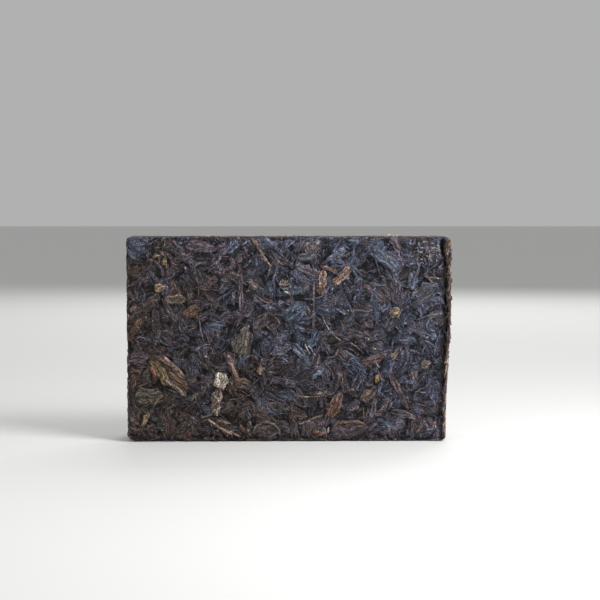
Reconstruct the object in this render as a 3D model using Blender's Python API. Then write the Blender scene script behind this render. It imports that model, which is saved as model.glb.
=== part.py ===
"""A brick of pressed pu erh tea, standing on one of its long narrow sides.

Metres, +Z up. The length runs along X and the thickness along Y, with the front face
looking along -Y. The origin is in the middle of the footprint, on the surface it stands on.
"""
import math
import random

import bmesh
import bpy
from mathutils import Vector

# The pressed block.
LENGTH = 0.1400
THICKNESS = 0.0250
HEIGHT = 0.0900

# The mould leaves small corners, and handling has worn some of them more than others.
CORNER_RADII = {
    (-1, -1): 0.0036,   # left end, bottom
    (1, -1): 0.0022,    # right end, bottom
    (1, 1): 0.0030,     # right end, top
    (-1, 1): 0.0016,    # left end, top
}
LIP_RADIUS = 0.0010     # where the broad faces turn into the narrow sides
CORNER_SEGMENTS = 4
LIP_SEGMENTS = 2

# The right end stands out a little further towards the top.
END_LEAN = 0.0022
LEAN_START = 0.08       # share of the height where the end begins to lean
LEAN_FULL = 0.68        # share of the height where it has leant all the way

# The front skin has crumbled away along the right edge, more at the top than at the bottom.
REBATE_TOP_WIDTH = 0.0032
REBATE_BOTTOM_WIDTH = 0.0012
REBATE_DEPTH = 0.0017
REBATE_STEP = 0.0005    # width of the steep step between the skin and the rebate
REBATE_START = 0.1      # share of the height where the rebate begins to deepen
REBATE_FULL = 0.9       # share of the height where it is at its full depth

# Leaves pressed into every side but the base, as a coarse relief.
CELL = 0.0035           # spacing of the surface points
LEAF_LENGTH = (0.012, 0.026)
LEAF_WIDTH = (0.007, 0.012)
LEAF_HEIGHT = (0.5, 1.0)    # share of the relief's depth that a leaf fills
LEAF_CROWN = 0.35       # below 0.5 a leaf is flat-topped with steep sides
RELIEF_DEPTH = 0.0009
LEAVES_PER_AREA = 13000.0   # leaves for each square metre
SEED = 250

TOUCH = 0.0001          # places closer than this count as the same
FACING = 0.9            # a face looks along an axis if its normal's share is over this
CUT_MARGIN = 0.0004     # the cuts stay this far clear of the rounded corners

TEA_COLOUR = (0.052, 0.046, 0.048, 1.0)
TEA_ROUGHNESS = 0.62


def clear_scene():
    """Remove whatever the file already holds."""
    for obj in list(bpy.data.objects):
        bpy.data.objects.remove(obj, do_unlink=True)


def smooth_share(value, start, end):
    """Go from 0 at start to 1 at end, without a kink at either."""
    share = min(1.0, max(0.0, (value - start) / (end - start)))
    return share * share * (3.0 - 2.0 * share)


def block_with_worn_corners(bm):
    """A plain block from Z = 0 up, its four upright corners and both face lips rounded."""
    bmesh.ops.create_cube(bm, size=1.0)
    bmesh.ops.scale(bm, vec=Vector((LENGTH, THICKNESS, HEIGHT)), verts=bm.verts)
    bmesh.ops.translate(bm, vec=Vector((0.0, 0.0, HEIGHT / 2.0)), verts=bm.verts)
    for (side_x, side_z), radius in CORNER_RADII.items():
        corner = Vector((side_x * LENGTH / 2.0, 0.0, HEIGHT * (1 + side_z) / 2.0))
        edge = min(bm.edges, key=lambda e: ((e.verts[0].co + e.verts[1].co) / 2.0 - corner).length)
        bmesh.ops.bevel(bm, geom=[edge], offset=radius, offset_type="OFFSET",
                        segments=CORNER_SEGMENTS, profile=0.5, affect="EDGES")
    lips = [e for e in bm.edges if abs(e.verts[0].co.y - e.verts[1].co.y) < TOUCH]
    bmesh.ops.bevel(bm, geom=lips, offset=LIP_RADIUS, offset_type="OFFSET",
                    segments=LIP_SEGMENTS, profile=0.5, affect="EDGES")


def cut_along(bm, faces, point, normal):
    """Cut the given faces along a plane, keeping both sides."""
    edges = {e for f in faces for e in f.edges}
    verts = {v for f in faces for v in f.verts}
    bmesh.ops.bisect_plane(bm, geom=list(verts) + list(edges) + list(faces), dist=1e-6,
                           plane_co=point, plane_no=normal)


def divide_surface(bm):
    """Divide the flat sides into cells of about CELL, clear of the rounded corners."""
    margin = max(CORNER_RADII.values()) + CUT_MARGIN
    spans = (
        (Vector((1, 0, 0)), -LENGTH / 2.0 + margin, LENGTH / 2.0 - margin),
        (Vector((0, 1, 0)), -THICKNESS / 2.0 + CELL, THICKNESS / 2.0 - CELL),
        (Vector((0, 0, 1)), margin, HEIGHT - margin),
    )
    for axis, low, high in spans:
        count = round((high - low) / CELL)
        for i in range(count + 1):
            position = low + (high - low) * i / count
            cut_along(bm, bm.faces[:], axis * position, axis)


def rebate_width(z):
    """How far the crumbled strip reaches in from the right end at a height."""
    share = z / HEIGHT
    return REBATE_BOTTOM_WIDTH + (REBATE_TOP_WIDTH - REBATE_BOTTOM_WIDTH) * share


def crumble_front_edge(bm):
    """Set the front skin back along the right edge, behind a steep slanted step."""
    slope = Vector((REBATE_BOTTOM_WIDTH - REBATE_TOP_WIDTH, 0.0, HEIGHT))
    normal = Vector((slope.z, 0.0, -slope.x)).normalized()
    for inset in (0.0, REBATE_STEP):
        front = [f for f in bm.faces if f.normal.y < -FACING]
        foot = Vector((LENGTH / 2.0 - REBATE_BOTTOM_WIDTH + inset, 0.0, 0.0))
        cut_along(bm, front, foot, normal)
    reach = THICKNESS / 2.0 - LIP_RADIUS - TOUCH
    for vert in bm.verts:
        edge = LENGTH / 2.0 - rebate_width(vert.co.z)
        share = smooth_share(vert.co.x, edge + TOUCH, edge + REBATE_STEP)
        if vert.co.y < -reach:
            height_share = smooth_share(vert.co.z / HEIGHT, REBATE_START, REBATE_FULL)
            vert.co.y += REBATE_DEPTH * share * height_share


def pressed_leaves(rng, width, height):
    """Leaves strewn over a flat side: centre, direction, half sizes and height share."""
    leaves = []
    for _ in range(round(width * height * LEAVES_PER_AREA)):
        angle = rng.uniform(0.0, math.pi)
        leaves.append((
            rng.uniform(-width / 2.0, width / 2.0),
            rng.uniform(-height / 2.0, height / 2.0),
            math.cos(angle),
            math.sin(angle),
            rng.uniform(*LEAF_LENGTH) / 2.0,
            rng.uniform(*LEAF_WIDTH) / 2.0,
            rng.uniform(*LEAF_HEIGHT),
        ))
    return leaves


def leaf_cover(leaves, u, v):
    """Height share of the highest leaf over a point, 0 in the gaps between leaves."""
    cover = 0.0
    for centre_u, centre_v, cos, sin, half_length, half_width, height in leaves:
        along = ((u - centre_u) * cos + (v - centre_v) * sin) / half_length
        across = ((v - centre_v) * cos - (u - centre_u) * sin) / half_width
        inside = 1.0 - along * along - across * across
        if inside > 0.0:
            cover = max(cover, height * inside ** LEAF_CROWN)
    return cover


def press_leaves_in(bm):
    """Sink the surface between the leaves, leaving the base flat.

    Where the surface turns a corner, each side counts by the square of the normal's share.
    """
    rng = random.Random(SEED)
    front = pressed_leaves(rng, LENGTH, HEIGHT)
    back = pressed_leaves(rng, LENGTH, HEIGHT)
    top = pressed_leaves(rng, LENGTH, THICKNESS)
    left_end = pressed_leaves(rng, THICKNESS, HEIGHT)
    right_end = pressed_leaves(rng, THICKNESS, HEIGHT)
    bm.normal_update()
    sunk = []
    for vert in bm.verts:
        if vert.co.z < TOUCH:
            continue
        x, y, level = vert.co - Vector((0.0, 0.0, HEIGHT / 2.0))
        normal = vert.normal
        face_cover = leaf_cover(front if normal.y < 0.0 else back, x, level)
        end_cover = leaf_cover(left_end if normal.x < 0.0 else right_end, y, level)
        top_cover = leaf_cover(top, x, y) if normal.z > 0.0 else 1.0
        cover = normal.y ** 2 * face_cover + normal.x ** 2 * end_cover + normal.z ** 2 * top_cover
        sunk.append((vert, vert.co - normal * RELIEF_DEPTH * (1.0 - cover)))
    for vert, place in sunk:
        vert.co = place


def lean_right_end(bm):
    """Push the upper part of the right end out."""
    for vert in bm.verts:
        up = smooth_share(vert.co.z / HEIGHT, LEAN_START, LEAN_FULL)
        out = smooth_share(vert.co.x, 0.0, LENGTH / 2.0)
        vert.co.x += END_LEAN * up * out


def centre_on_footprint(bm):
    """Put the origin under the middle of the finished shape."""
    low_x = min(v.co.x for v in bm.verts)
    high_x = max(v.co.x for v in bm.verts)
    low_y = min(v.co.y for v in bm.verts)
    high_y = max(v.co.y for v in bm.verts)
    low_z = min(v.co.z for v in bm.verts)
    shift = Vector((-(low_x + high_x) / 2.0, -(low_y + high_y) / 2.0, -low_z))
    bmesh.ops.translate(bm, vec=shift, verts=bm.verts)


def tea_material():
    """Dark, slightly sheeny pressed leaf."""
    material = bpy.data.materials.new("pressed_tea")
    material.use_nodes = True
    shader = material.node_tree.nodes["Principled BSDF"]
    shader.inputs["Base Color"].default_value = TEA_COLOUR
    shader.inputs["Roughness"].default_value = TEA_ROUGHNESS
    shader.inputs["Metallic"].default_value = 0.0
    return material


def build_tea_brick(collection):
    """Model the brick as one closed solid."""
    bm = bmesh.new()
    block_with_worn_corners(bm)
    divide_surface(bm)
    crumble_front_edge(bm)
    press_leaves_in(bm)
    lean_right_end(bm)
    centre_on_footprint(bm)
    bmesh.ops.triangulate(bm, faces=bm.faces)
    bmesh.ops.recalc_face_normals(bm, faces=bm.faces)
    mesh = bpy.data.meshes.new("tea_brick")
    bm.to_mesh(mesh)
    bm.free()
    mesh.materials.append(tea_material())
    brick = bpy.data.objects.new("tea_brick", mesh)
    collection.objects.link(brick)
    return brick


def main():
    clear_scene()
    collection = bpy.data.collections.new("pu_erh_tea_brick")
    bpy.context.scene.collection.children.link(collection)
    build_tea_brick(collection)


main()
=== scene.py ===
"""The looks of a brick of pressed pu erh tea, standing on one of its long narrow sides.

Each side of the brick is a map of how high the tea lies on it. A leaf is draped over what
already lies there and then raises the map, and at the end the press levels every side.
The deeper leaves only leave their relief and colour in the ground, a matted core, and
thousands of separate leaves, stems, buds, fibres and crumbs lie on top of it.
All leaf work is in millimetres, in the block's own place, and becomes metres at the end.
"""

import math
from functools import partial

import bmesh
import bpy
import numpy as np
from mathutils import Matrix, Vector


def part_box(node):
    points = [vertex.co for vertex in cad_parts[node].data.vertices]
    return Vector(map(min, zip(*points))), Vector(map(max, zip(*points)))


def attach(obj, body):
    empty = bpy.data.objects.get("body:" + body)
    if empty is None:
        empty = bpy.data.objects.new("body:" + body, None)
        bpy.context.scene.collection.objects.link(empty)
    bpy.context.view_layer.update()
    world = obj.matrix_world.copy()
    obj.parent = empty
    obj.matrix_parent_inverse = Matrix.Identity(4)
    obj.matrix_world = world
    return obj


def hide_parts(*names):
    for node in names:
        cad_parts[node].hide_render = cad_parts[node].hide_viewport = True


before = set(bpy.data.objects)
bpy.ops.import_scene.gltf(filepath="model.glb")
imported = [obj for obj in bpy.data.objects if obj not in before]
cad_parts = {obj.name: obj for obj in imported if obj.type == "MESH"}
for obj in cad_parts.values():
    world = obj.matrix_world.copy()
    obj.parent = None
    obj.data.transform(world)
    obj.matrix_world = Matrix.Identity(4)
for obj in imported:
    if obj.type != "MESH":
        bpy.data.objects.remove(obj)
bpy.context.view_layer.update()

# ---------------------------------------------------------------- the pressed block
MM = 0.001
low_corner, high_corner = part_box("tea_brick")
END_LEAN = 2.2                 # the right end stands out this much further near its top
LEAN_START = 0.08              # share of the height where the end begins to lean
LEAN_FULL = 0.68
LENGTH = (high_corner[0] - low_corner[0]) / MM - END_LEAN
THICKNESS = (high_corner[1] - low_corner[1]) / MM
HEIGHT = (high_corner[2] - low_corner[2]) / MM
HALF_LENGTH = LENGTH / 2.0
HALF_THICKNESS = THICKNESS / 2.0
BLOCK_SHIFT = low_corner[0] / MM + HALF_LENGTH   # where the block's middle lies along X
LIP_RADIUS = 1.0               # where a broad face turns into a narrow side
CORNERS = {"bottom_left": 3.6, "bottom_right": 2.2, "top_right": 3.0, "top_left": 1.6}

# The front skin has crumbled away along the right edge.
REBATE_TOP_WIDTH = 3.2
REBATE_BOTTOM_WIDTH = 1.2
REBATE_DEPTH = 1.7
REBATE_REACH = 6.0             # how far back through the thickness the wear fades out
REBATE_RIM = 0.6               # share of the depth that the outer rim of the rebate regains
REBATE_LEAST = 0.35            # share of the depth that is left at the foot
REBATE_RISE = (0.05, 0.6)      # shares of the height between which it reaches its full depth
SKIN_STEP = 0.4                # width of the step at the skin's edge
RIM_STEP = (0.5, 1.4)          # how far past the skin's edge the outer rim rises again
FLAKE_WIDTH = 1.4              # the skin has flaked off further in at the top corner
FLAKE_RISE = (0.86, 0.97)      # shares of the height where that begins and is complete

# ---------------------------------------------------------------- the press
MAP_CELL = 0.25                # cell of the height maps
LAY_STEP = 0.22                # a leaf raises the map at points this close together
LEVEL_BLUR = 3.0               # unevenness wider than this is pressed flat
LEVEL_MARGIN = 40              # empty cells round a map while it is pressed
RELIEF = 0.68                  # how much of the remaining relief the press leaves
HIGHEST = 0.32                 # how far a leaf may stand proud of the pressed surface
DEEPEST = 0.70                 # how far a gap may reach below the pressed surface
LEAF_THICKNESS = 0.20
HAND_RISE = 0.12               # a leaf laid one by one lies this much higher than the others
HIDDEN_BELOW = 0.10            # a point this far under its neighbours doesn't show
LEAST_SHOWN = 0.16             # a leaf that shows less of itself is left out

# ---------------------------------------------------------------- the matted ground
WRINKLE_HEIGHT = 0.09          # half the height of a wrinkle in the ground
WRINKLE_SHADE = 0.30           # how much paler its ridge is painted than its middle, and its trough darker, as painted light and shade
GROUND_BELOW = 0.04            # the ground lies this far under the leaves pressed into it
WRAP = 1.7                     # a side's ground reaches this far past its edge, over the lip
BORDER_DIP = 1.3               # and sinks this far under its neighbour there
CREVICE_BLUR = 0.8             # a crevice is lower than what lies this near
SHADE_BY_CREVICE = 1.6         # how much darker the painted shade makes it for each millimetre
PAINTED_LIP_HIGHLIGHT = 0.55            # how much paler the lips are painted, a painted highlight where their rounding catches the light
FACE_LIP = (-1.2, -0.4)        # where that begins and is full, from the edge of a broad face
BAND_LIP = (-4.0, -0.6)        # and from the edge of a narrow side
SHADE_BY_DEPTH = 0.95          # how much paler the painted light makes the tea for each millimetre it stands proud, and darker where it lies low
DARKEST_SHARE = 0.16           # the limits of that painted shade and light
PALEST_SHARE = 1.5
SPECKLE = 0.16                 # how much the ground's colour varies from cell to cell
FIBRE_RELIEF = 2.2             # height of the fibres in the finish, to 1 for the grain
CREVICE_RELIEF = 0.9           # height of the leaf between its crevices, likewise
CREVICE_SHADE = 0.20           # how dark the painted shade makes a crevice's bottom

rng = np.random.default_rng(250)


def srgb(red, green, blue):
    """A colour given as 0 to 255 numbers, as the linear numbers the shaders use."""
    shares = np.array([red, green, blue]) / 255.0
    return np.where(shares <= 0.04045, shares / 12.92, ((shares + 0.055) / 1.055) ** 2.4)


COLOURS = {
    "black tea": srgb(38, 34, 36),
    "dark chocolate": srgb(58, 49, 48),
    "slate": srgb(64, 69, 80),
    "blue grey": srgb(82, 92, 108),
    "steel": srgb(110, 122, 140),
    "teal": srgb(56, 72, 84),
    "mauve": srgb(88, 76, 84),
    "mauve brown": srgb(80, 68, 70),
    "warm brown": srgb(92, 72, 60),
    "red brown": srgb(98, 73, 63),
    "rust": srgb(112, 78, 60),
    "tan": srgb(136, 116, 96),
    "pink tan": srgb(130, 106, 97),
    "gold": srgb(118, 100, 74),
    "olive grey": srgb(88, 81, 72),
    "dusty olive": srgb(138, 132, 117),
    "grey tan": srgb(120, 108, 98),
    "pale": srgb(178, 170, 160),
    "pale tan": srgb(156, 147, 134),
    "white fleck": srgb(212, 206, 200),
}
# The painted sheen turns from warm at the left of the front to a paler blue-grey at its right and
# top, colour that stands in for how the light falls there.
PAINTED_WARM_AVERAGE = srgb(65, 53, 46)
PAINTED_COOL_AVERAGE = srgb(73, 76, 96)
OWN_SHARE = 0.42               # how far an ordinary leaf keeps its own colour
HAND_COLOUR = 0.4              # how far a leaf laid one by one keeps an even colour
PICKED_SHARE = 0.75            # how many leaves of a strewn kind take one of its own colours
COOL_ALONG = 0.85              # how much cooler the painted sheen is at the right end than at the left
COOL_UP = 0.40                 # and at the top than at the bottom
COOL_FOOT = 0.2                # share of the height where height makes no difference
COOL_PATCHES = 0.20            # how much it varies from patch to patch
COOL_SIDES = 0.3               # how cool the painted sheen is on the narrow sides
# How often each colour falls on an ordinary leaf, at the warm and at the cool end of the painted
# sheen.
WARM_MIX = {"black tea": 12, "dark chocolate": 24, "slate": 6, "blue grey": 3, "mauve": 7,
            "mauve brown": 16, "warm brown": 18, "red brown": 10, "rust": 4, "tan": 2,
            "pink tan": 2, "olive grey": 7, "teal": 2, "gold": 2}
COOL_MIX = {"black tea": 7, "dark chocolate": 9, "slate": 24, "blue grey": 22, "mauve": 12,
            "mauve brown": 7, "warm brown": 5, "red brown": 4, "rust": 2, "tan": 1,
            "pink tan": 2, "olive grey": 4, "teal": 8, "steel": 6, "gold": 1}


# ---------------------------------------------------------------- leaf shapes, as by hand
def select_where(sheet, test):
    """Select the vertices of the object in edit mode whose place passes the test."""
    bm = bmesh.from_edit_mesh(sheet.data)
    for vert in bm.verts:
        vert.select = bool(test(vert.co))
    bm.select_flush_mode()
    bmesh.update_edit_mesh(sheet.data)


def model_leaf(name, widths, ridges, arch=0.0, tip_drop=0.0):
    """Model one leaf lying flat, 1 long, 1 wide and about 1 high.

    widths are the width shares at even stations along it, and ridges the heights of the
    lengthwise folds at even places across it. arch rounds it up in the middle of its width.
    Returns its lattice of points, stations first.
    """
    along = len(widths) - 1
    across = len(ridges) - 1
    bpy.ops.object.select_all(action="DESELECT")
    bpy.ops.mesh.primitive_grid_add(x_subdivisions=along, y_subdivisions=across, size=1.0)
    leaf = bpy.context.object
    leaf.name = name
    start = np.array([v.co[:] for v in leaf.data.vertices])
    order = np.lexsort((start[:, 1].round(4), start[:, 0].round(4)))
    bpy.ops.object.mode_set(mode="EDIT")
    bpy.ops.mesh.select_mode(type="VERT")
    for row, ridge in enumerate(ridges):
        place = row / across - 0.5
        rise = ridge + arch * math.sqrt(max(0.0, 1.0 - (2.0 * place) ** 2))
        select_where(leaf, lambda co: abs(co.y - place) < 0.01)
        bpy.ops.transform.translate(value=(0.0, 0.0, rise))
    for station, width in enumerate(widths):
        place = station / along - 0.5
        select_where(leaf, lambda co: abs(co.x - place) < 0.01)
        bpy.ops.transform.resize(value=(1.0, width, 0.4 + 0.6 * width),
                                 center_override=(place, 0.0, 0.0))
        drop = tip_drop * (2.0 * place) ** 4
        bpy.ops.transform.translate(value=(0.0, 0.0, -drop))
    bpy.ops.object.mode_set(mode="OBJECT")
    points = np.array([v.co[:] for v in leaf.data.vertices])[order]
    bpy.data.objects.remove(leaf, do_unlink=True)
    return points.reshape(along + 1, across + 1, 3)


SHAPES = {
    "broad_blade": model_leaf("broad_blade", (0.4, 0.8, 1.0, 0.93, 1.0, 0.84, 0.66, 0.3),
                              (0.25, 0.5, 0.6, 0.2, 0.65, 0.45, 0.25), arch=0.15, tip_drop=0.2),
    "torn_blade": model_leaf("torn_blade", (0.7, 0.95, 0.9, 1.0, 0.88, 0.95, 0.6),
                             (0.3, 0.6, 0.2, 0.65, 0.3, 0.25), arch=0.15, tip_drop=0.2),
    "folded_leaf": model_leaf("folded_leaf", (0.5, 0.9, 1.0, 0.88, 0.97, 0.8, 0.45),
                              (0.25, 0.8, 0.3, 1.0, 0.5, 0.2), arch=0.1, tip_drop=0.3),
    "crumpled_leaf": model_leaf("crumpled_leaf", (0.6, 0.95, 0.8, 1.0, 0.8, 0.9, 0.55),
                                (0.25, 0.9, 0.2, 0.7, 0.95, 0.2), arch=0.1, tip_drop=0.3),
    "rolled_leaf": model_leaf("rolled_leaf", (0.5, 0.85, 1.0, 0.92, 1.0, 0.8, 0.65, 0.4),
                              (-0.2, 0.5, 0.95, 0.4, -0.2), arch=0.35, tip_drop=0.5),
    "stem": model_leaf("stem", (0.85, 1.0, 0.9, 0.95, 0.85, 0.9, 0.7),
                       (-0.3, 0.55, 0.85, 0.55, -0.3), arch=0.2, tip_drop=0.2),
    "bud": model_leaf("bud", (0.45, 0.85, 1.0, 0.95, 0.85, 0.6, 0.3),
                      (-0.3, 0.5, 0.75, 0.6, -0.3), arch=0.5, tip_drop=0.4),
    "fibre": model_leaf("fibre", (0.4, 1.0, 0.9, 1.0, 0.3), (-0.3, 0.8, -0.3), tip_drop=0.4),
    "crumb": model_leaf("crumb", (0.6, 1.0, 0.7), (-0.1, 0.7, -0.1), arch=0.2, tip_drop=0.3),
}


# ---------------------------------------------------------------- one side of the brick
def linear_steps(count, finer):
    """A matrix that reads points between count + 1 given ones, finer points to a gap."""
    places = np.linspace(0.0, count, count * finer + 1)
    left = np.minimum(places.astype(int), count - 1)
    share = places - left
    steps = np.zeros((len(places), count + 1))
    steps[np.arange(len(places)), left] = 1.0 - share
    steps[np.arange(len(places)), left + 1] += share
    return steps


STEPS = {}


def steps_for(count, finer):
    """linear_steps, kept so that each is worked out once."""
    key = (count, finer)
    if key not in STEPS:
        STEPS[key] = linear_steps(count, finer)
    return STEPS[key]


def relaxed(heights, rounds):
    """A stiff leaf bridges small hollows: each point moves towards its neighbours."""
    for _ in range(rounds):
        framed = np.pad(heights, 1, mode="edge")
        around = framed[:-2, 1:-1] + framed[2:, 1:-1] + framed[1:-1, :-2] + framed[1:-1, 2:]
        heights = 0.4 * heights + 0.15 * around
    return heights


FIELD_SIZE = 96                # random values each way in a field, which then repeats
FIELD_START = 100.0            # keeps every place on a side positive


def uneven_field(spacing):
    """A soft random field over a side, with one random value every spacing millimetres."""
    values = rng.normal(0.0, 1.0, (FIELD_SIZE, FIELD_SIZE))

    def read(p, q):
        at_p = (p + FIELD_START) / spacing % (FIELD_SIZE - 2.0)
        at_q = (q + FIELD_START) / spacing % (FIELD_SIZE - 2.0)
        column, row = at_p.astype(int), at_q.astype(int)
        share_p, share_q = at_p - column, at_q - row
        share_p = share_p * share_p * (3.0 - 2.0 * share_p)
        share_q = share_q * share_q * (3.0 - 2.0 * share_q)
        near = values[column, row] * (1 - share_p) + values[column + 1, row] * share_p
        far = values[column, row + 1] * (1 - share_p) + values[column + 1, row + 1] * share_p
        return near * (1 - share_q) + far * share_q

    return read


def wrinkles(along, across):
    """Lengthwise wrinkles that wander across a leaf, from -1 to 1."""
    start = rng.uniform(0.0, 2.0 * math.pi, 4)
    wander = rng.uniform(0.2, 0.6) * np.sin(along * rng.uniform(0.4, 1.3) + start[0])
    broad = np.sin((across + wander) * rng.uniform(2.6, 4.2) + start[1])
    fine = np.sin((across + wander) * rng.uniform(5.0, 7.5) + start[2]
                  + 0.9 * np.sin(along * 1.7 + start[3]))
    return 0.5 * broad + 0.5 * fine


class Side:
    """A side of the brick as a flat map: p and q along it, and how high the tea lies."""

    def __init__(self, p_range, q_range, p_ground, q_ground, place,
                 turned=False, goes_round=False):
        self.p_low, self.p_high = p_range
        self.q_low, self.q_high = q_range
        self.p_ground = p_ground      # what the ground of this side covers
        self.q_ground = q_ground
        self.place = place            # takes p, q and height to the block's X, Y and Z
        self.turned = turned          # faces need turning round to point outwards
        self.goes_round = goes_round  # the map's p end meets its start
        size = (round((self.p_high - self.p_low) / MAP_CELL),
                round((self.q_high - self.q_low) / MAP_CELL))
        self.heights = np.zeros(size)
        self.colours = np.tile(COLOURS["black tea"], (size[0] * size[1], 1))
        self.grain = np.zeros((size[0] * size[1], 2))
        self.ground = None
        self.leaves = []
        self.tone = uneven_field(4.0)
        # Where the painted sheen runs cooler or warmer, patch by patch.
        self.warmth = uneven_field(11.0)

    def cells(self, p, q):
        """The map cell under each point."""
        columns = ((p - self.p_low) / MAP_CELL).astype(int)
        rows = ((q - self.q_low) / MAP_CELL).astype(int)
        if self.goes_round:
            columns = columns % self.heights.shape[0]
        else:
            columns = columns.clip(0, self.heights.shape[0] - 1)
        return columns, rows.clip(0, self.heights.shape[1] - 1)

    def lay(self, p, q, rise, stiffness, colour, kind=None, proud=0.0):
        """Drape a lattice of points over the map, and raise the map.

        A leaf of a kind is kept, to be a mesh. One of no kind becomes part of the ground.
        """
        base = relaxed(self.heights[self.cells(p, q)], stiffness)
        top = base + rise
        steps_along = np.hypot(np.diff(p, axis=0), np.diff(q, axis=0))
        steps_across = np.hypot(np.diff(p, axis=1), np.diff(q, axis=1))
        along = steps_for(p.shape[0] - 1, max(1, math.ceil(steps_along.max() / LAY_STEP)))
        across = steps_for(p.shape[1] - 1, max(1, math.ceil(steps_across.max() / LAY_STEP))).T
        fine_p, fine_q, fine_top = (along @ part @ across for part in (p, q, top))
        if kind:
            np.maximum.at(self.heights, self.cells(fine_p, fine_q), fine_top)
            self.leaves.append(dict(p=p, q=q, top=top, colour=colour, kind=kind, proud=proud))
            return
        lengthwise, crosswise = np.meshgrid(
            np.linspace(0.0, steps_along.sum(axis=0).mean(), fine_p.shape[0]),
            np.linspace(0.0, steps_across.sum(axis=1).mean(), fine_p.shape[1]), indexing="ij")
        fold = wrinkles(lengthwise, crosswise)
        tones = np.stack([along @ colour[..., band] @ across for band in range(3)], axis=-1)
        speckle = rng.normal(0.0, SPECKLE, fold.shape)
        # Painted light and shade: each wrinkle's ridge is painted paler and its trough darker.
        tones = tones * np.exp(WRINKLE_SHADE * fold + speckle)[..., None]
        offset = rng.uniform(0.0, 500.0, 2)
        grain = np.stack([lengthwise + offset[0], crosswise + offset[1]], axis=-1)
        self.paint(fine_p, fine_q, fine_top + WRINKLE_HEIGHT * fold, tones, grain)

    def paint(self, p, q, top, tones, grain):
        """Leave the height, colour and grain of a leaf in the map where it lies on top."""
        columns, rows = self.cells(p, q)
        place = (columns * self.heights.shape[1] + rows).ravel()
        top = top.ravel()
        heights = self.heights.reshape(-1)
        shown = np.nonzero(top > heights[place])[0]
        shown = shown[np.argsort(top[shown], kind="stable")]
        heights[place[shown]] = top[shown]
        self.colours[place[shown]] = tones.reshape(-1, 3)[shown]
        self.grain[place[shown]] = grain.reshape(-1, 2)[shown]

    def keep_ground(self):
        """What lies here by now is the ground under the separate leaves."""
        self.ground = self.heights.copy()

    def level(self, blur):
        """The map without what is narrower than blur."""
        heights = self.heights
        margin = LEVEL_MARGIN
        pad = 0 if self.goes_round else margin
        covered = (heights > 0.0).astype(float)
        framed = np.pad(heights * covered, ((pad, pad), (margin, margin)))
        weight = np.pad(covered, ((pad, pad), (margin, margin)))
        waves_p = np.fft.fftfreq(framed.shape[0], MAP_CELL)[:, None]
        waves_q = np.fft.rfftfreq(framed.shape[1], MAP_CELL)[None, :]
        soft = np.exp(-2.0 * (math.pi * blur) ** 2 * (waves_p ** 2 + waves_q ** 2))
        mean = np.fft.irfft2(np.fft.rfft2(framed) * soft, framed.shape)
        share = np.fft.irfft2(np.fft.rfft2(weight) * soft, framed.shape)
        level = mean / np.maximum(share, 0.02)
        return level[pad:pad + heights.shape[0], margin:margin + heights.shape[1]]


def smooth_share(value, start, end):
    """Go from 0 at start to 1 at end, without a kink at either."""
    share = np.clip((value - start) / (end - start), 0.0, 1.0)
    return share * share * (3.0 - 2.0 * share)


def skin_edge(z):
    """Where the uneven edge of the front skin runs at a height, before the end leans."""
    share = z / HEIGHT
    width = REBATE_BOTTOM_WIDTH + (REBATE_TOP_WIDTH - REBATE_BOTTOM_WIDTH) * share
    uneven = 0.35 * np.sin(0.31 * z + 0.6) + 0.28 * np.sin(0.83 * z) + 0.15 * np.sin(2.3 * z)
    flake = FLAKE_WIDTH * smooth_share(share, *FLAKE_RISE)
    return HALF_LENGTH - width - uneven - flake


def corner_radius(x, z):
    """The radius of the outline's nearest corner."""
    low = z < HEIGHT / 2.0
    left = x < 0.0
    bottom = np.where(left, CORNERS["bottom_left"], CORNERS["bottom_right"])
    top = np.where(left, CORNERS["top_left"], CORNERS["top_right"])
    return np.where(low, bottom, top)


def place_on_face(p, q, height, outwards):
    """From the flat of a broad face over its lip and down onto the narrow side."""
    radius = corner_radius(p, q)
    inner_x = np.clip(p, -HALF_LENGTH + radius, HALF_LENGTH - radius)
    inner_z = np.clip(q, radius, HEIGHT - radius)
    off_x = p - inner_x
    off_z = q - inner_z
    off = np.hypot(off_x, off_z)
    over = off - (radius - LIP_RADIUS)
    turn = np.clip(over / LIP_RADIUS, 0.0, math.pi / 2.0)
    down = np.maximum(0.0, over - LIP_RADIUS * math.pi / 2.0)
    reach = np.where(over > 0.0, radius - LIP_RADIUS + (LIP_RADIUS + height) * np.sin(turn), off)
    out_x = np.where(off > 0.0, off_x / np.maximum(off, 1e-9), 0.0)
    out_z = np.where(off > 0.0, off_z / np.maximum(off, 1e-9), 0.0)
    depth = HALF_THICKNESS - LIP_RADIUS + (LIP_RADIUS + height) * np.cos(turn) - down
    return np.stack([inner_x + out_x * reach, outwards * depth, inner_z + out_z * reach], axis=-1)


def block_outline(step=0.1):
    """The outline clockwise from the top left: distance along it, X, Z and outward normal."""
    runs = (
        ("top_right", HALF_LENGTH, HEIGHT, 90.0),
        ("bottom_right", HALF_LENGTH, 0.0, 0.0),
        ("bottom_left", -HALF_LENGTH, 0.0, -90.0),
        ("top_left", -HALF_LENGTH, HEIGHT, -180.0),
    )
    points = []
    for corner, x, z, start in runs:
        radius = CORNERS[corner]
        centre_x = x - math.copysign(radius, x)
        centre_z = z - radius if z > 0.0 else radius
        for degrees in np.linspace(start, start - 90.0, 13):
            out = (math.cos(math.radians(degrees)), math.sin(math.radians(degrees)))
            points.append((centre_x + radius * out[0], centre_z + radius * out[1], *out))
    points = np.array([points[-1]] + points)
    apart = np.hypot(np.diff(points[:, 0]), np.diff(points[:, 1]))
    distance = np.concatenate([[0.0], np.cumsum(apart)])
    even = np.arange(0.0, distance[-1], step)
    return even, [np.interp(even, distance, column) for column in points.T], distance[-1]


OUTLINE_AT, OUTLINE, PERIMETER = block_outline()


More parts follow.
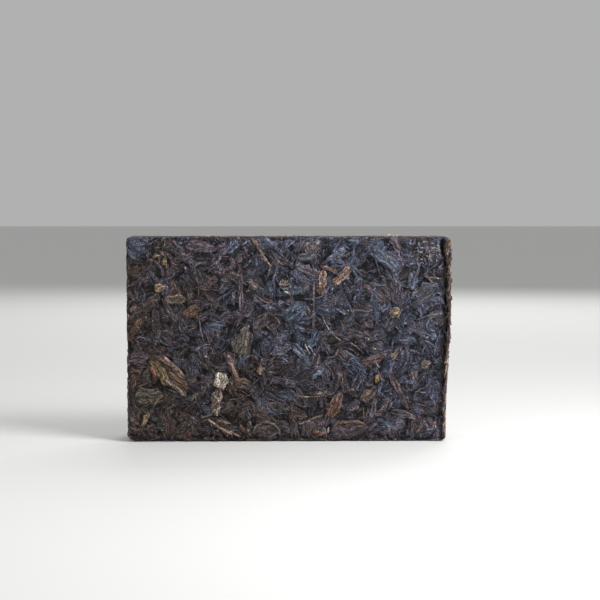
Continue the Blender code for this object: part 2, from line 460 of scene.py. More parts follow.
def place_on_band(p, q, height):
    """Round the four narrow sides: p along the outline, q through the thickness."""
    x, z, out_x, out_z = (np.interp(p % PERIMETER, OUTLINE_AT, column) for column in OUTLINE)
    over = np.abs(q) - (HALF_THICKNESS - LIP_RADIUS)
    turn = np.clip(over / LIP_RADIUS, 0.0, math.pi / 2.0)
    down = np.maximum(0.0, over - LIP_RADIUS * math.pi / 2.0)
    lift = np.where(over > 0.0, (LIP_RADIUS + height) * np.cos(turn) - LIP_RADIUS - down, height)
    depth = HALF_THICKNESS - LIP_RADIUS + (LIP_RADIUS + height) * np.sin(turn)
    y = np.where(over > 0.0, np.sign(q) * depth, q)
    return np.stack([x + out_x * lift, y, z + out_z * lift], axis=-1)


def worn(points):
    """The wear of the right front edge, the lean of that end and the flat base."""
    x, y, z = points[..., 0], points[..., 1], points[..., 2]
    edge = skin_edge(z)
    past_skin = smooth_share(x, edge, edge + SKIN_STEP)
    past_gap = smooth_share(x, edge + RIM_STEP[0], edge + RIM_STEP[1])
    near_front = smooth_share(-y, HALF_THICKNESS - REBATE_REACH, HALF_THICKNESS)
    deepened = smooth_share(z / HEIGHT, *REBATE_RISE)
    depth = REBATE_DEPTH * (REBATE_LEAST + (1.0 - REBATE_LEAST) * deepened)
    y = y + depth * past_skin * (1.0 - REBATE_RIM * past_gap) * near_front
    up = smooth_share(z / HEIGHT, LEAN_START, LEAN_FULL)
    out = smooth_share(x, 0.0, HALF_LENGTH)
    x = x + BLOCK_SHIFT + END_LEAN * up * out
    return np.stack([x, y, np.maximum(z, 0.02)], axis=-1)


FACE_GROUND = ((-HALF_LENGTH - WRAP, HALF_LENGTH + WRAP), (-WRAP, HEIGHT + WRAP))
BAND_GROUND = ((0.0, PERIMETER), (-HALF_THICKNESS - WRAP, HALF_THICKNESS + WRAP))
# The maps reach further, so that a leaf may hang over an edge.
FACE_MAP = ((-78.0, 78.0), (-8.0, 98.0))
BAND_MAP = ((0.0, MAP_CELL * round(PERIMETER / MAP_CELL)), (-15.0, 15.0))
front = Side(*FACE_MAP, *FACE_GROUND, lambda p, q, h: place_on_face(p, q, h, -1.0))
back = Side(*FACE_MAP, *FACE_GROUND, lambda p, q, h: place_on_face(p, q, h, 1.0), turned=True)
band = Side(*BAND_MAP, *BAND_GROUND, place_on_band, goes_round=True)
ALL_SIDES = (front, back, band)


# ---------------------------------------------------------------- laying the tea
TONE_RUN = 0.22                # how fast a leaf's two tones run into each other along it
TONE_SPREAD = 0.16             # how unevenly they do
SHADE_SPREAD = 0.10            # how much leaves differ in shade, and within themselves
DENTS = 0.6                    # height of the small dents, to 1 for the folds
TEAR = 0.16                    # how unevenly a leaf's sides are torn
SWAY = 0.05                    # how far its middle line strays, in widths
STRAY = (0.02, 0.03)           # how far its points stray, in lengths and in widths


def creases(count, size):
    """Lengthwise folds that fade in and out along a leaf, and small dents."""
    start, end = rng.normal(0.0, 1.0, (2, 1, count[1]))
    share = np.linspace(0.0, 1.0, count[0])[:, None]
    return (start * (1.0 - share) + end * share + rng.normal(0.0, DENTS, count)) * size


def leaf_lattice(shape, length, width, rise, angle, bend, crease):
    """A leaf's own lattice, sized, torn, creased, bent along an arc and turned."""
    points = SHAPES[shape]
    count = points.shape[:2]
    torn = 1.0 + rng.normal(0.0, TEAR, (2, count[0], 1))
    torn = np.where(points[..., 1] < 0.0, torn[0], torn[1])
    sideways = np.cumsum(rng.normal(0.0, SWAY, (count[0], 1)), axis=0)
    x = points[..., 0] + rng.normal(0.0, STRAY[0], count)
    y = (points[..., 1] * torn + sideways + rng.normal(0.0, STRAY[1], count)) * width
    height = points[..., 2] * rise + creases(count, crease)
    if abs(bend) > 0.02:
        middle_x = np.sin(bend * x) / bend * length
        middle_y = (1.0 - np.cos(bend * x)) / bend * length
    else:
        middle_x = x * length
        middle_y = 0.0
    local_x = middle_x - np.sin(bend * x) * y
    local_y = middle_y + np.cos(bend * x) * y
    cos, sin = math.cos(angle), math.sin(angle)
    return local_x * cos - local_y * sin, local_x * sin + local_y * cos, height


def keep_on(side, p, q, reach, past_skin=False):
    """Slide a leaf back so that it doesn't hang over an edge by more than reach."""
    if side.goes_round:
        limit = HALF_THICKNESS + reach
        return p, q - max(0.0, (q - limit).max()) + max(0.0, (-limit - q).max())
    p = p + max(0.0, (-HALF_LENGTH - reach - p).max())
    q = q + max(0.0, (0.4 - q).max()) - max(0.0, (q - HEIGHT - reach).max())
    if past_skin:
        p = p + max(0.0, (skin_edge(q) + 0.5 - p).max())
    right = skin_edge(q) if side is front and not past_skin else HALF_LENGTH + 0.2
    return p - max(0.0, (p - right).max()), q


def mixed_colour(coolness):
    """Pick an ordinary leaf's colour under the painted sheen: warm at 0, cool at 1, each a little
    different.
    """
    mix = COOL_MIX if rng.random() < coolness else WARM_MIX
    shares = np.array(list(mix.values()), float)
    name = list(mix)[rng.choice(len(mix), p=shares / shares.sum())]
    average = PAINTED_WARM_AVERAGE * (1.0 - coolness) + PAINTED_COOL_AVERAGE * coolness
    return OWN_SHARE * COLOURS[name] + (1.0 - OWN_SHARE) * average


def painted_sheen_coolness_at(side, p, q):
    """The painted sheen is blue-grey towards the right and the top, and warm towards the left."""
    patch = COOL_PATCHES * float(side.warmth(np.array(p), np.array(q)))
    if side.goes_round:
        return float(np.clip(COOL_SIDES + patch, 0.0, 1.0))
    along = (p / LENGTH + 0.5) if side is front else (0.5 - p / LENGTH)
    return float(np.clip(COOL_ALONG * along + COOL_UP * (q / HEIGHT - COOL_FOOT) + patch, 0.0, 1.0))


def leaf_tones(side, p, q, first, second):
    """A leaf's colour at each point: two tones run into each other, and patches cross it."""
    along = np.cumsum(rng.normal(0.0, TONE_RUN, (p.shape[0], 1)), axis=0)
    share = rng.uniform(0.0, 0.6) + along + rng.normal(0.0, TONE_SPREAD, p.shape)
    share = np.clip(share, 0.0, 1.0)
    shade = SHADE_SPREAD * side.tone(p, q) + rng.normal(0.0, SHADE_SPREAD)
    shade = np.exp(shade + rng.normal(0.0, SHADE_SPREAD, p.shape))
    return (first * (1.0 - share[..., None]) + second * share[..., None]) * shade[..., None]


EDGE_REACH = (0.4, 2.2)        # how far leaves may hang over an edge

# kind of leaf: shape choices, lengths, widths, rise, crease, bend, stiffness
KINDS = {
    "broad_leaves": (("broad_blade", "torn_blade"), (8, 15), (4.4, 8.2), 0.4, 0.14, 0.5, 2),
    "folded_leaves": (("folded_leaf", "crumpled_leaf"), (5, 12), (2.4, 5.2), 0.45, 0.15, 0.8, 2),
    "rolled_leaves": (("rolled_leaf",), (4, 12), (0.9, 2.2), 0.45, 0.09, 0.9, 2),
    "stems": (("stem",), (6, 15), (0.5, 0.9), 0.45, 0.03, 0.4, 3),
    "buds": (("bud",), (4, 8), (1.3, 2.4), 0.55, 0.07, 0.4, 2),
    "crumbs": (("crumb",), (1.0, 3.0), (0.7, 2.0), 0.35, 0.08, 0.0, 1),
    "fibres": (("fibre",), (2.5, 7), (0.25, 0.5), 0.3, 0.03, 0.7, 1),
}


def strew(side, kind, count, size=1.0, spread=2.0 * math.pi, colours=None, ground=False):
    """Strew ordinary leaves of one kind over a whole side."""
    shapes, lengths, widths, rise, crease, bend, stiffness = KINDS[kind]
    for _ in range(count):
        p = rng.uniform(0.0, PERIMETER) if side.goes_round else rng.uniform(-1, 1) * HALF_LENGTH
        q = rng.uniform(-1, 1) * HALF_THICKNESS if side.goes_round else rng.uniform(0, HEIGHT)
        shape = shapes[rng.integers(len(shapes))]
        local_p, local_q, height = leaf_lattice(
            shape, rng.uniform(*lengths) * size, rng.uniform(*widths) * size,
            rise * rng.uniform(0.7, 1.25), rng.uniform(-0.5, 0.5) * spread,
            rng.normal(0.0, bend), crease)
        local_p, local_q = keep_on(side, local_p + p, local_q + q, rng.uniform(*EDGE_REACH))
        coolness = painted_sheen_coolness_at(side, p, q)
        first = mixed_colour(coolness)
        if colours and rng.random() < PICKED_SHARE:
            first = COLOURS[colours[rng.integers(len(colours))]]
        tones = leaf_tones(side, local_p, local_q, first, mixed_colour(coolness))
        side.lay(local_p, local_q, height, stiffness, tones, kind=None if ground else kind)


def lay_one(kind, colour, x, z, length, width, degrees, bend=0.0, rise=1.0, shape=None,
            side=front, proud=0.0):
    """Lay one particular leaf by the place of its middle."""
    shapes, _, _, usual_rise, crease, _, stiffness = KINDS[kind]
    shape = shape or shapes[0]
    p, q, height = leaf_lattice(shape, length, width, usual_rise * rise,
                                math.radians(degrees), bend, crease)
    p, q = keep_on(side, p + x - (BLOCK_SHIFT if side is front else 0.0), q + z, 1.0)
    tones = leaf_tones(side, p, q, COLOURS[colour], mixed_colour(painted_sheen_coolness_at(side, x, z)))
    tones = (1.0 - HAND_COLOUR) * tones + HAND_COLOUR * COLOURS[colour]
    side.lay(p, q, height + HAND_RISE, stiffness, tones, kind=kind, proud=proud)


def lay_loose_bits():
    """Bits that stand out past the crumbled edge, and leaf tips along the top edge."""
    end_starts = LENGTH - CORNERS["top_left"] - CORNERS["top_right"]
    for _ in range(46):
        down = rng.uniform(4.0, 62.0)
        name = ("warm brown", "grey tan", "mauve brown", "tan")[rng.integers(4)]
        lay_one("crumbs", name, end_starts + down, -HALF_THICKNESS + rng.uniform(0.6, 4.0),
                rng.uniform(1.2, 2.6), rng.uniform(0.7, 1.5), rng.uniform(0, 180),
                side=band, proud=rng.uniform(0.0, 0.7))
    for along, length, width, proud in ((69.0, 3.0, 1.0, 1.0), (72.5, 2.2, 0.9, 0.6),
                                        (110.5, 3.6, 1.3, 1.6), (113.6, 5.0, 1.2, 1.3),
                                        (34.0, 2.5, 0.9, 0.5)):
        lay_one("crumbs", "grey tan", along, -HALF_THICKNESS + 1.4, length, width,
                rng.uniform(-20, 20), side=band, proud=proud)


def lay_frayed_corner():
    """Pale frayed bits at the top right of the front face."""
    names = ("mauve", "steel", "grey tan", "blue grey", "mauve brown")
    for _ in range(110):
        x = HALF_LENGTH - rng.uniform(5.0, 19.0)
        z = HEIGHT - rng.uniform(2.0, 13.0)
        name = names[rng.integers(len(names))]
        kind = ("crumbs", "fibres")[rng.integers(2)]
        lay_one(kind, name, x, z, rng.uniform(1.2, 3.0), rng.uniform(0.4, 1.0),
                rng.uniform(0, 180), bend=rng.normal(0.0, 0.3))


def lay_crumbled_strips(count, kind):
    """Brown fibrous strips along the crumbled right edge."""
    shapes, _, _, rise, crease, _, stiffness = KINDS["rolled_leaves"]
    for _ in range(count):
        z = rng.uniform(1.0, HEIGHT - 1.0)
        room = HALF_LENGTH - skin_edge(z)
        p, q, height = leaf_lattice("rolled_leaf", rng.uniform(2.5, 9), rng.uniform(0.5, 1.5),
                                    rise, math.pi / 2 + rng.normal(0.0, 0.25), 0.0, crease)
        p, q = keep_on(front, p + HALF_LENGTH - rng.uniform(0.0, 0.9) * room, q + z, 0.8, True)
        name = ("warm brown", "dark chocolate", "mauve brown", "grey tan")[rng.integers(4)]
        tones = leaf_tones(front, p, q, COLOURS[name], COLOURS["dark chocolate"])
        front.lay(p, q, height, stiffness, tones, kind=kind)


def lay_ground():
    """The deeper leaves, which only leave their relief and colour."""
    for side, share in ((front, 1.0), (back, 1.0), (band, 0.9)):
        size = 0.85 if side.goes_round else 1.0
        for _ in range(4):
            strew(side, "broad_leaves", round(90 * share), size, ground=True)
            strew(side, "folded_leaves", round(230 * share), size, ground=True)
            strew(side, "rolled_leaves", round(90 * share), size, ground=True)
            strew(side, "crumbs", round(240 * share), ground=True)
        if side is front:
            p_at = side.p_low + MAP_CELL * np.arange(side.heights.shape[0])[:, None]
            q_at = side.q_low + MAP_CELL * np.arange(side.heights.shape[1])[None, :]
            skinned = side.heights > 0.0
            side.heights[p_at > skin_edge(q_at) + 0.3] = side.heights[skinned].mean()
            lay_crumbled_strips(260, None)
        strew(side, "folded_leaves", round(260 * share), 0.5 * size, ground=True)
        strew(side, "fibres", round(500 * share), ground=True)
        side.keep_ground()


def lay_tea():
    """Lay everything, from the deepest layer up."""
    lay_ground()
    for side, share in ((front, 1.0), (back, 0.9), (band, 0.5)):
        size = 0.85 if side.goes_round else 1.0
        spread = 0.8 * math.pi if side.goes_round else 2.0 * math.pi
        for _ in range(2):
            strew(side, "broad_leaves", round(75 * share), size, spread)
            strew(side, "folded_leaves", round(150 * share), size, spread)
            strew(side, "rolled_leaves", round(60 * share), size, spread)
            strew(side, "crumbs", round(120 * share))
            strew(side, "stems", round(9 * share), size, spread,
                  ("grey tan", "red brown", "warm brown", "mauve brown"))
            strew(side, "buds", round(5 * share), size, spread, ("tan", "gold", "dusty olive"))
        strew(side, "folded_leaves", round(120 * share), 0.5)
        strew(side, "rolled_leaves", round(60 * share), 0.5)
        strew(side, "fibres", round(300 * share))
        strew(side, "crumbs", round(380 * share), 0.65)
    lay_crumbled_strips(70, "edge_strips")
    lay_frayed_corner()
    lay_particular_leaves()
    for side, share in ((front, 1.0), (back, 0.9), (band, 0.5)):
        strew(side, "fibres", round(160 * share), 1.0, 2.0 * math.pi,
              ("tan", "grey tan", "pink tan", "steel"))
        strew(side, "crumbs", round(160 * share), 0.5, 2.0 * math.pi, ("tan", "grey tan", "steel"))
    lay_loose_bits()


def lay_particular_leaves():
    """The leaves that stand out on the front face."""
    kinds = ("broad_leaves", "folded_leaves", "rolled_leaves", "stems", "buds", "crumbs", "fibres")
    broad, folded, rolled, stem, bud, crumb, fibre = (partial(lay_one, kind) for kind in kinds)
    broad("warm brown", -53.0, 29.1, 22.0, 8.4, -45)
    broad("gold", -56.6, 30.8, 12.0, 4.0, -52, shape="torn_blade", rise=0.7)
    folded("grey tan", -49.6, 23.8, 12.0, 2.0, -42, rise=0.7)
    folded("pink tan", -51.4, 33.0, 15.0, 3.0, -43, rise=1.3)
    folded("rust", -60.0, 31.0, 5.0, 2.6, -80)
    broad("slate", -42.0, 33.6, 10.5, 7.2, 76)
    broad("mauve", -66.0, 36.5, 9.0, 6.0, 8)
    broad("olive grey", -61.5, 20.0, 12.0, 7.4, 14)
    folded("tan", -63.0, 9.6, 7.0, 2.8, 66)
    folded("pink tan", -32.0, 17.6, 12.0, 4.9, 87, rise=1.4)
    bud("pale tan", -30.2, 26.9, 7.0, 5.8, 78, shape="crumpled_leaf")
    for x, z, name in ((-33.4, 21.4, "white fleck"), (-31.4, 18.4, "pale"), (-32.6, 16.6, "tan"),
                       (-31.0, 14.8, "white fleck"), (-33.2, 13.6, "pale"), (-31.8, 12.2, "pale"),
                       (-30.6, 21.0, "tan"), (-32.4, 19.8, "pale"), (-34.2, 7.6, "white fleck")):
        fibre(name, x, z, 2.2, 0.7, rng.uniform(20, 120), rise=1.4)
    folded("tan", -29.0, 8.8, 6.0, 1.3, -12)
    broad("mauve", -26.0, 34.6, 11.0, 5.2, -66)
    folded("pink tan", -24.6, 33.4, 12.6, 2.2, -66, rise=1.2)
    stem("pink tan", -29.0, 5.6, 15.4, 1.5, -27, bend=0.25, rise=1.0)
    bud("tan", -56.5, 67.5, 4.8, 4.2, 25, rise=1.3)
    broad("mauve", -38.5, 85.0, 14.0, 5.4, -8)
    folded("grey tan", -50.0, 63.0, 9.0, 4.0, 2)
    broad("warm brown", -42.9, 57.3, 8.0, 5.5, 30)
    broad("olive grey", -19.7, 43.7, 12.0, 9.2, 60)
    folded("grey tan", -18.5, 45.2, 6.4, 2.0, 80)
    folded("mauve", -21.0, 65.7, 16.8, 2.2, 88)
    folded("pink tan", -12.8, 83.8, 12.4, 1.5, -59, rise=0.8)
    stem("grey tan", -9.8, 80.0, 7.2, 0.9, -54)
    broad("grey tan", -2.1, 69.7, 5.2, 4.8, 20, rise=1.6)
    broad("grey tan", 44.8, 56.9, 5.0, 4.8, 30, rise=1.6)
    bud("tan", -1.8, 69.9, 3.4, 3.4, 20)
    bud("gold", 45.0, 57.0, 3.4, 3.2, 30)
    stem("mauve brown", 10.6, 63.5, 29.0, 1.1, 90, bend=0.1)
    broad("pink tan", 13.7, 69.7, 11.0, 4.0, 88, shape="torn_blade")
    broad("pink tan", 22.9, 72.4, 10.5, 4.4, 44, shape="torn_blade")
    folded("pink tan", 16.8, 76.0, 8.0, 1.8, -20)
    stem("black tea", 36.8, 78.6, 13.6, 1.1, -74)
    broad("blue grey", 41.0, 78.9, 15.0, 5.4, -43, shape="torn_blade", rise=1.4)
    broad("slate", 58.0, 64.0, 13.0, 8.0, 20)
    broad("blue grey", 2.0, 58.0, 12.0, 7.6, 35)
    bud("red brown", 33.0, 67.5, 4.5, 2.2, -30)
    folded("teal", 11.0, 44.6, 8.4, 5.0, 60)
    stem("pale", 8.0, 40.8, 5.0, 0.7, -62)
    stem("steel", 10.0, 39.8, 6.0, 0.8, -58)
    bud("tan", -12.6, 31.3, 4.2, 3.0, 70)
    broad("red brown", 36.5, 36.6, 11.0, 5.0, 15)
    folded("mauve", -3.5, 40.2, 9.0, 4.4, 20)
    bud("gold", 45.7, 38.5, 4.4, 2.8, 60)
    bud("gold", 38.3, 27.4, 4.0, 2.4, 85)
    broad("warm brown", 35.2, 20.3, 8.0, 5.0, 32)
    folded("mauve brown", 47.7, 21.6, 18.6, 3.3, -63)
    broad("warm brown", 50.0, 12.0, 11.0, 3.4, -12)
    bud("grey tan", 58.9, 34.0, 4.8, 4.6, 40, rise=1.5)
    broad("red brown", 20.2, 15.6, 11.7, 5.0, 66, rise=1.3)
    broad("mauve brown", 26.0, 5.0, 17.0, 7.4, 4)
    rolled("warm brown", 26.4, 8.6, 17.0, 2.0, 182, bend=1.3, rise=1.3)
    broad("mauve brown", -9.4, 5.4, 11.0, 8.0, 10)
    rolled("olive grey", -10.4, 8.6, 19.0, 1.6, 182, bend=3.2, rise=1.2)
    rolled("blue grey", 42.4, 7.9, 9.0, 1.9, -28)
    stem("tan", 9.4, 9.6, 11.0, 1.1, 22)
    bud("pale", 17.2, 5.0, 2.8, 1.2, 84)
    folded("pink tan", 64.0, 7.2, 3.4, 1.4, 80)
    for x, z, name in ((11.5, 4.0, "red brown"), (9.0, 6.0, "warm brown"), (14.0, 3.0, "red brown"),
                       (42.2, 4.0, "red brown"), (-58.3, 81.6, "tan"), (-55.0, 79.0, "gold"),
                       (-61.0, 79.5, "red brown"), (11.0, 28.7, "steel"), (13.0, 30.0, "steel")):
        crumb(name, x, z, 3.2, 2.2, rng.uniform(0, 180), rise=1.3)


# ---------------------------------------------------------------- from lattices to meshes
def pressed(heights, level):
    """The relief that the press leaves: how far each point stands over the level."""
    relief = (heights - level) * RELIEF
    limit = np.where(relief > 0.0, HIGHEST, DEEPEST)
    return limit * np.tanh(relief / limit)


def lip_share(side, p, q):
    """1 on the lips, where a broad face turns into a narrow side and gets a painted highlight, and 0
    away from them.
    """
    if side.goes_round:
        return smooth_share(np.abs(q) - HALF_THICKNESS, *BAND_LIP)
    past = np.maximum(np.abs(p) - HALF_LENGTH, np.maximum(q - HEIGHT, -q))
    return smooth_share(past, *FACE_LIP)


def shaded(colour, relief, fine_relief, lip):
    """Painted shade darkens the crevices and low places, and painted light pales the lips and what
    stands proud.
    """
    share = 1.0 + SHADE_BY_DEPTH * relief + SHADE_BY_CREVICE * fine_relief
    share = np.clip(share, DARKEST_SHARE, PALEST_SHARE) * (1.0 + PAINTED_LIP_HIGHLIGHT * lip)
    return colour * share[..., None]


def pressed_leaves():
    """Every leaf that shows, as points in the block, in one pile for each kind."""
    piles = {}
    for side in ALL_SIDES:
        level = side.level(LEVEL_BLUR)
        near_level = side.level(CREVICE_BLUR)
        for leaf in side.leaves:
            cells = side.cells(leaf["p"], leaf["q"])
            if (leaf["top"] > side.heights[cells] - HIDDEN_BELOW).mean() < LEAST_SHOWN:
                continue
            # A leaf that stands proud rests on its middle and lifts its tips.
            tips = np.linspace(-1.0, 1.0, leaf["top"].shape[0])[:, None] ** 2
            leaf["relief"] = pressed(leaf["top"], level[cells]) + leaf["proud"] * tips
            leaf["colour"] = shaded(leaf["colour"], leaf["relief"],
                                    leaf["top"] - near_level[cells],
                                    lip_share(side, leaf["p"], leaf["q"]))
            leaf["points"] = worn(side.place(leaf["p"], leaf["q"], leaf["relief"]))
            leaf["turned"] = side.turned
            piles.setdefault(leaf["kind"], []).append(leaf)
    return piles


def lattice_faces(count_along, count_across):
    """The quads of one lattice, seen from above in order."""
    index = np.arange(count_along * count_across).reshape(count_along, count_across)
    return np.stack([index[:-1, :-1], index[1:, :-1], index[1:, 1:], index[:-1, 1:]],
                    axis=-1).reshape(-1, 4)


def tea_mesh(name, points, faces, colours, maps):
    """A smooth mesh with the leaf's colour at its points and named maps at its corners."""
    mesh = bpy.data.meshes.new(name)
    mesh.from_pydata((points * MM).tolist(), [], faces)
    for map_name, values in maps:
        layer = mesh.uv_layers.new(name=map_name)
        layer.uv.foreach_set("vector", values.astype(np.float32).ravel())
    colour = mesh.color_attributes.new("leaf_colour", "FLOAT_COLOR", "POINT")
    rgba = np.concatenate([colours, np.ones((len(colours), 1))], axis=1)
    colour.data.foreach_set("color", rgba.astype(np.float32).ravel())
    mesh.polygons.foreach_set("use_smooth", np.ones(len(faces), bool))
    piece = bpy.data.objects.new(name, mesh)
    bpy.context.scene.collection.objects.link(piece)
    return piece


def joined_leaves(name, leaves):
    """One mesh of many leaves, with a colour, a grain map and a bake map."""
    points, faces, colours, grain, sheet = [], [], [], [], []
    start = 0
    columns = math.ceil(math.sqrt(len(leaves)))
    for number, leaf in enumerate(leaves):
        count = leaf["p"].shape
        quads = lattice_faces(*count)
        if leaf["turned"]:
            quads = quads[:, ::-1]
        own = np.stack(np.meshgrid(np.linspace(0, 1, count[0]), np.linspace(0, 1, count[1]),
                                   indexing="ij"), axis=-1)
        length = np.hypot(*(leaf[a][-1].mean() - leaf[a][0].mean() for a in "pq"))
        width = np.hypot(*(leaf[a][:, -1].mean() - leaf[a][:, 0].mean() for a in "pq"))
        cell = np.array([number % columns, number // columns])
        points.append(leaf["points"].reshape(-1, 3))
        faces.append(quads + start)
        colours.append(leaf["colour"].reshape(-1, 3))
        grain.append((own * (length, width) + rng.uniform(0, 500, 2)).reshape(-1, 2))
        sheet.append(((cell + 0.06 + 0.88 * own) / columns).reshape(-1, 2))
        start += count[0] * count[1]
    faces = np.concatenate(faces)
    corners = faces.ravel()
    maps = [("OFBake", np.concatenate(sheet)[corners]), ("Grain", np.concatenate(grain)[corners])]
    return tea_mesh(name, np.concatenate(points), faces.tolist(), np.concatenate(colours), maps)


def ground_piece(side, name, step):
    """The matted ground of one side, as relief on a slab that is closed behind."""
    p_from, p_to = side.p_ground
    q_from, q_to = side.q_ground
    count_p = round((p_to - p_from) / step)
    count_q = round((q_to - q_from) / step)
    p, q = np.meshgrid(np.linspace(p_from, p_to, count_p + 1),
                       np.linspace(q_from, q_to, count_q + 1), indexing="ij")
    cells = side.cells(p, q)
    inside = np.minimum(q - q_from, q_to - q)
    if not side.goes_round:
        inside = np.minimum(inside, np.minimum(p - p_from, p_to - p))
    relief = pressed(side.ground, side.level(LEVEL_BLUR))[cells] - GROUND_BELOW
    fine_relief = (side.ground - side.level(CREVICE_BLUR))[cells]
    sunk = BORDER_DIP * (1.0 - smooth_share(inside, 0.0, WRAP - 0.3))
    points = worn(side.place(p, q, relief - sunk))
    size = side.heights.shape
    colours = shaded(side.colours.reshape(*size, 3)[cells], relief, fine_relief,
                     lip_share(side, p, q))
    grain = side.grain.reshape(*size, 2)[cells]
    quads = lattice_faces(count_p + 1, count_q + 1)
    sheet = np.stack([0.02 + 0.96 * (p - p_from) / (p_to - p_from),
                      0.10 + 0.88 * (q - q_from) / (q_to - q_from)], axis=-1)
    index = np.arange((count_p + 1) * (count_q + 1)).reshape(count_p + 1, count_q + 1)
    if side.goes_round:
        caps = [index[:-1, 0][::-1], index[:-1, -1]]
        wrapped = index.copy()
        wrapped[-1] = wrapped[0]
        kept = count_p * (count_q + 1)
    else:
        caps = [np.concatenate([index[0, :], index[1:, -1], index[-1, :-1][::-1],
                                index[1:-1, 0][::-1]])]
        wrapped = index
        kept = index.size
    if side.turned:
        quads = quads[:, ::-1]
        caps = [cap[::-1] for cap in caps]
    flat = points.reshape(-1, 3)
    corners = np.concatenate([quads.ravel(), *caps])
    hidden = [np.stack([0.02 + 0.45 * number + 0.4 * (flat[cap, 0] / LENGTH + 0.5),
                        0.01 + 0.06 * flat[cap, 2] / HEIGHT], axis=-1)
              for number, cap in enumerate(caps)]
    bake = np.concatenate([sheet.reshape(-1, 2)[quads.ravel()], *hidden])
    faces = wrapped.ravel()[quads].tolist() + [wrapped.ravel()[cap].tolist() for cap in caps]
    maps = [("OFBake", bake), ("Grain", grain.reshape(-1, 2)[corners])]
    return tea_mesh(name, flat[:kept], faces, colours.reshape(-1, 3)[:kept], maps)


def apply_modifier(piece, name):
    """Apply one modifier, with nothing else selected."""
    bpy.ops.object.select_all(action="DESELECT")
    piece.select_set(True)
    bpy.context.view_layer.objects.active = piece
    bpy.ops.object.modifier_apply(modifier=name)


def thicken(piece, thickness):
    """Give every leaf its thickness, downwards from its shown face and not below the floor."""
    solidify = piece.modifiers.new("thickness", "SOLIDIFY")
    solidify.thickness = thickness * MM
    solidify.offset = -1.0
    apply_modifier(piece, "thickness")
    for vert in piece.data.vertices:
        vert.co.z = max(vert.co.z, 0.0)


# ---------------------------------------------------------------- finishes
def linked(tree, node_type, name, **values):
    """Add a node and set its named inputs."""
    node = tree.nodes.new(node_type)
    node.name = name
    for key, value in values.items():
        node.inputs[key.replace("_", " ")].default_value = value
    return node


def value_range(tree, name, source, low_in, high_in, low_out, high_out):
    """Carry a value from one range to another."""
    node = linked(tree, "ShaderNodeMapRange", name, From_Min=low_in, From_Max=high_in,
                  To_Min=low_out, To_Max=high_out)
    tree.links.new(source, node.inputs["Value"])
    return node.outputs["Result"]


def product(tree, name, first, second):
    """Multiply two values."""
    node = linked(tree, "ShaderNodeMath", name)
    node.operation = "MULTIPLY"
    tree.links.new(first, node.inputs[0])
    tree.links.new(second, node.inputs[1])
    return node.outputs["Value"]


def weighted_sum(tree, name, first, weight, second):
    """Add a weighted value to another."""
    node = linked(tree, "ShaderNodeMath", name)
    node.operation = "MULTIPLY_ADD"
    node.inputs[1].default_value = weight
    tree.links.new(first, node.inputs[0])
    tree.links.new(second, node.inputs[2])
    return node.outputs["Value"]


def tea_finish(name, gloss, streak, bump):
    """Dry pressed leaf: lengthwise fibres, mottling, and a soft uneven sheen."""
    material = bpy.data.materials.new(name)
    material.use_nodes = True
    tree = material.node_tree
    shader = tree.nodes["Principled BSDF"]
    places = tree.nodes.new("ShaderNodeTexCoord")
    mottle = linked(tree, "ShaderNodeTexNoise", "mottle", Scale=620.0, Detail=3.0, Roughness=0.6)
    tree.links.new(places.outputs["Object"], mottle.inputs["Vector"])
    grain = linked(tree, "ShaderNodeTexNoise", "grain", Scale=2000.0, Detail=2.0, Roughness=0.6)
    tree.links.new(places.outputs["Object"], grain.inputs["Vector"])
    leaf_map = tree.nodes.new("ShaderNodeUVMap")
    leaf_map.uv_map = "Grain"
    lengthwise = linked(tree, "ShaderNodeMapping", "lengthwise", Scale=(0.18, 1.5, 1.0))
    tree.links.new(leaf_map.outputs["UV"], lengthwise.inputs["Vector"])
    fibres = linked(tree, "ShaderNodeTexNoise", "fibres", Scale=1.0, Detail=4.0, Roughness=0.62)
    tree.links.new(lengthwise.outputs["Vector"], fibres.inputs["Vector"])
    wander = tree.nodes.new("ShaderNodeVectorMath")
    wander.operation = "MULTIPLY_ADD"
    wander.inputs[1].default_value = (0.9, 0.9, 0.9)
    tree.links.new(mottle.outputs["Color"], wander.inputs[0])
    tree.links.new(lengthwise.outputs["Vector"], wander.inputs[2])
    folds = linked(tree, "ShaderNodeTexVoronoi", "crevices", Scale=0.62)
    folds.feature = "DISTANCE_TO_EDGE"
    tree.links.new(wander.outputs["Vector"], folds.inputs["Vector"])
    # Painted shade: the colour darkens towards the bottom of each crevice.
    crevice = value_range(tree, "crevice_shade", folds.outputs["Distance"], 0.0, 0.16,
                          CREVICE_SHADE, 1.0)
    shade = product(tree, "speckled",
                    value_range(tree, "mottle_shade", mottle.outputs["Fac"], 0.36, 0.64, 0.72, 1.28),
                    value_range(tree, "grain_shade", grain.outputs["Fac"], 0.40, 0.64, 0.42, 1.7))
    shade = product(tree, "creviced", shade, crevice)
    shade = product(tree, "fibred", shade,
                    value_range(tree, "fibre_shade", fibres.outputs["Fac"], 0.36, 0.64,
                                1.0 - streak, 1.0 + streak))
    colour = tree.nodes.new("ShaderNodeAttribute")
    colour.attribute_name = "leaf_colour"
    tinted = tree.nodes.new("ShaderNodeVectorMath")
    tinted.operation = "SCALE"
    tree.links.new(colour.outputs["Color"], tinted.inputs[0])
    tree.links.new(shade, tinted.inputs["Scale"])
    tree.links.new(tinted.outputs["Vector"], shader.inputs["Base Color"])
    shader.inputs["Specular IOR Level"].default_value = 0.2
    rough = value_range(tree, "uneven_gloss", mottle.outputs["Fac"], 0.3, 0.7, *gloss)
    tree.links.new(rough, shader.inputs["Roughness"])
    height = weighted_sum(tree, "fibres_and_grain", fibres.outputs["Fac"], FIBRE_RELIEF,
                          grain.outputs["Fac"])
    height = weighted_sum(tree, "all_relief", crevice, CREVICE_RELIEF, height)
    relief = linked(tree, "ShaderNodeBump", "leaf_relief", Strength=bump, Distance=0.3 * MM)
    tree.links.new(height, relief.inputs["Height"])
    tree.links.new(relief.outputs["Normal"], shader.inputs["Normal"])
    return material


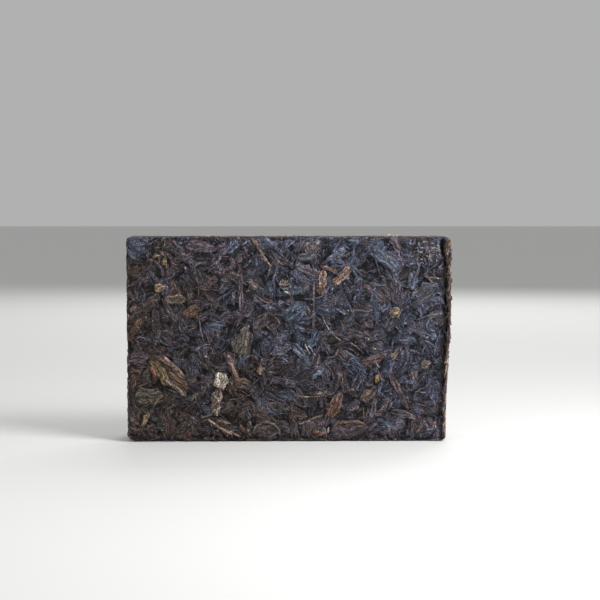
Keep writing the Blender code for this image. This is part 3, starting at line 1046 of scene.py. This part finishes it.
def studio_finish():
    """The plain pale floor."""
    material = bpy.data.materials.new("pale_floor")
    material.use_nodes = True
    shader = material.node_tree.nodes["Principled BSDF"]
    shader.inputs["Base Color"].default_value = (0.72, 0.72, 0.71, 1.0)
    shader.inputs["Roughness"].default_value = 0.8
    return material


# ---------------------------------------------------------------- the scene
def soft_light(name, place, size, energy):
    """A large white lamp that looks at the middle of the brick."""
    lamp = bpy.data.lights.new(name, "AREA")
    lamp.shape = "SQUARE"
    lamp.size = size
    lamp.energy = energy
    holder = bpy.data.objects.new(name, lamp)
    bpy.context.scene.collection.objects.link(holder)
    holder.location = place
    aim = Vector((0.0, 0.0, 0.045)) - Vector(place)
    holder.rotation_euler = aim.to_track_quat("-Z", "Y").to_euler()


def studio():
    """Floor, lamps, pale surroundings and the camera."""
    bpy.ops.object.select_all(action="DESELECT")
    bpy.ops.mesh.primitive_plane_add(size=60.0, location=(0.0, 0.0, -0.0001))
    floor = bpy.context.object
    floor.name = "floor"
    floor.data.materials.append(studio_finish())
    soft_light("key_lamp", (0.28, -0.24, 0.34), 0.24, 2.45)
    soft_light("fill_lamp", (-0.9, -0.8, 0.5), 0.9, 2.0)
    soft_light("back_lamp", (0.2, 1.0, 0.8), 0.9, 7.0)
    world = bpy.data.worlds.new("pale_room")
    world.use_nodes = True
    world.node_tree.nodes["Background"].inputs["Color"].default_value = (0.8, 0.8, 0.8, 1.0)
    world.node_tree.nodes["Background"].inputs["Strength"].default_value = 0.55
    bpy.context.scene.world = world
    camera = bpy.data.cameras.new("camera")
    camera.lens = 90.0
    holder = bpy.data.objects.new("camera", camera)
    bpy.context.scene.collection.objects.link(holder)
    holder.location = (-0.0078, -0.6685, 0.0966)
    aim = Vector((0.00470, -0.0125, 0.0623)) - holder.location
    holder.rotation_euler = aim.to_track_quat("-Z", "Y").to_euler()
    bpy.context.scene.camera = holder
    bpy.context.scene.view_settings.view_transform = "Standard"


def tea_brick():
    """Build the ground and every pile of leaves, and put them in the CAD brick's place."""
    lay_tea()
    finishes = {
        "matted_ground": tea_finish("matted_tea", (0.5, 0.78), 0.5, 0.7),
        "broad_leaves": tea_finish("broad_leaf", (0.42, 0.68), 0.45, 0.65),
        "folded_leaves": tea_finish("folded_leaf", (0.45, 0.7), 0.5, 0.75),
        "rolled_leaves": tea_finish("rolled_leaf", (0.42, 0.66), 0.5, 0.6),
        "edge_strips": tea_finish("torn_fibre", (0.6, 0.85), 0.6, 0.7),
        "stems": tea_finish("stem", (0.4, 0.6), 0.35, 0.4),
        "buds": tea_finish("bud", (0.5, 0.75), 0.45, 0.5),
        "crumbs": tea_finish("crumb", (0.5, 0.8), 0.3, 0.5),
        "fibres": tea_finish("fibre", (0.5, 0.75), 0.2, 0.3),
    }
    pieces = []
    for kind, leaves in pressed_leaves().items():
        piece = joined_leaves(kind, leaves)
        thicken(piece, LEAF_THICKNESS)
        piece.data.materials.append(finishes[kind])
        pieces.append(piece)
    for side, name, step in ((front, "matted_front", 0.40), (back, "matted_back", 0.50),
                             (band, "matted_sides", 0.50)):
        ground = ground_piece(side, name, step)
        ground.data.materials.append(finishes["matted_ground"])
        pieces.append(ground)
    for piece in pieces:
        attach(piece, "root")
        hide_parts("tea_brick")


studio()
tea_brick()
